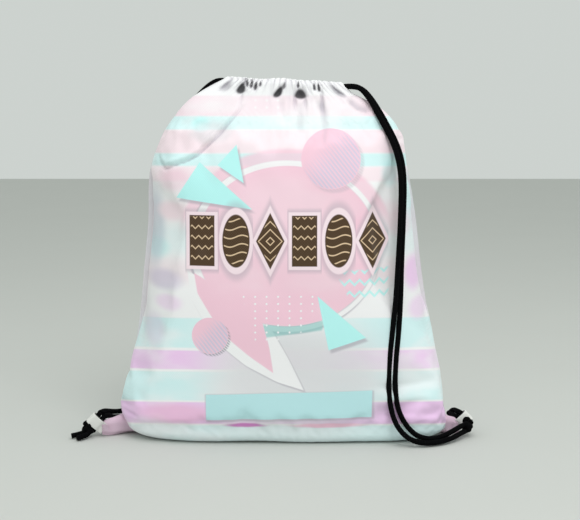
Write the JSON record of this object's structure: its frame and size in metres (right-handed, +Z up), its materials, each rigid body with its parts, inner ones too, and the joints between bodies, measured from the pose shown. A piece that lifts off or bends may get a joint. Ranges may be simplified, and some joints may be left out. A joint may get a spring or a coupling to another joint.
{
  "type": "drawstring bag",
  "caption": "Soft drawstring backpack with a printed cloth body, gathered mouth and two round carrying cords knotted through webbing loops at the bottom corners.",
  "frame": {"origin": "middle of the flat base, on the floor, where the front and back panels meet", "axes": "+X to the wearer's left as seen from the front (right in the front view), -Y is the printed front, +Z up to the gathered mouth"},
  "size_m": [0.3754, 0.1308, 0.3307],
  "materials": {
    "printed_cloth": "thin woven polyester, soft pastel stripes",
    "cloth_inside": "unprinted wrong side of the same cloth",
    "black_cord": "round braided cord, matt black",
    "webbing": "ribbed white webbing",
    "thread": "spun sewing thread"
  },
  "bodies": {
    "bag": {"front_panel": "printed_cloth", "back_panel": "printed_cloth", "front_tunnel": "printed_cloth", "back_tunnel": "printed_cloth", "left_side_seam": "cloth_inside", "right_side_seam": "cloth_inside", "bottom_seam": "cloth_inside", "left_seam_thread": "thread", "right_seam_thread": "thread", "front_hem_thread": "thread", "back_hem_thread": "thread", "right_cord_in_hem": "black_cord", "left_cord_in_hem": "black_cord", "left_corner": "printed_cloth", "right_corner": "printed_cloth", "left_loop": "webbing", "right_loop": "webbing", "left_bar_tack": "thread", "right_bar_tack": "thread", "left_knot": "black_cord", "right_knot": "black_cord"},
    "right_strap": {"right_front_strand": "black_cord", "right_rear_strand": "black_cord"},
    "left_strap": {"left_rear_strand": "black_cord", "left_front_strand": "black_cord"}
  },
  "joints": [
    {"name": "right_strap_swing", "type": "hinge", "parent": "bag", "child": "right_strap", "pos_m": [0.061, 0.0032, 0.3207], "axis": [-0.3365, 0.076, 0.9386], "range_deg": [0, 60]},
    {"name": "left_strap_swing", "type": "hinge", "parent": "bag", "child": "left_strap", "pos_m": [-0.058, -0.0032, 0.32], "axis": [0.3497, 0.0738, 0.934], "range_deg": [0, 45]}
  ]
}
